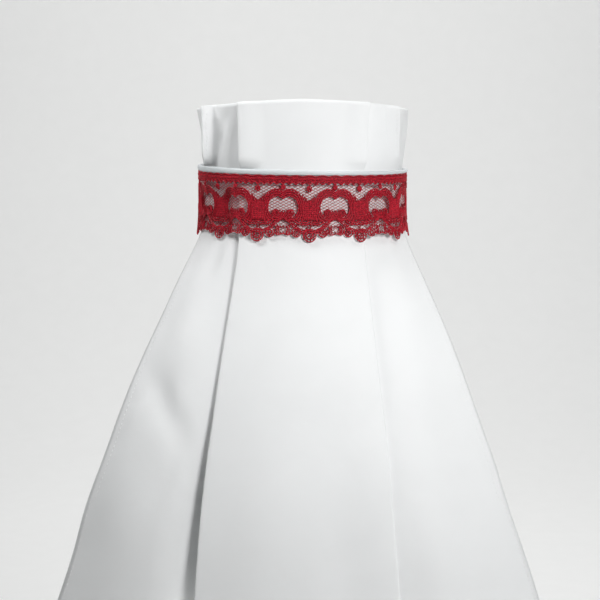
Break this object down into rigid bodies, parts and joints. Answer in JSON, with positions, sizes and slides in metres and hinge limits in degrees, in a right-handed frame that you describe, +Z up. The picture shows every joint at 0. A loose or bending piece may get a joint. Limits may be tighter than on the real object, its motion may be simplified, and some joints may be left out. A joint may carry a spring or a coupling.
{
  "type": "riding stock tie",
  "caption": "Ready-tied stock: a standing neck band, a box-pleated cloth front that flares into a bib, a beaded ribbon and a scalloped lace round the neck.",
  "frame": {"origin": "middle of the neck opening, level with the lower edge of the neck band", "axes": "+Z up along the neck, the front faces -Y, +X is to the right of someone who looks at the front"},
  "size_m": [0.2667, 0.1745, 0.2774],
  "materials": {
    "band_cloth": "smooth white woven cloth",
    "closing_tape": "short white pile",
    "front_cloth": "smooth white woven cloth with a faint sheen",
    "satin_ribbon": "white satin",
    "red_lace": "crimson cotton and nylon lace"
  },
  "bodies": {
    "root": {"neck_band": "band_cloth", "closing_pad": "closing_tape", "pleated_front": "front_cloth", "beaded_ribbon": "satin_ribbon", "scalloped_lace": "red_lace"}
  },
  "joints": []
}
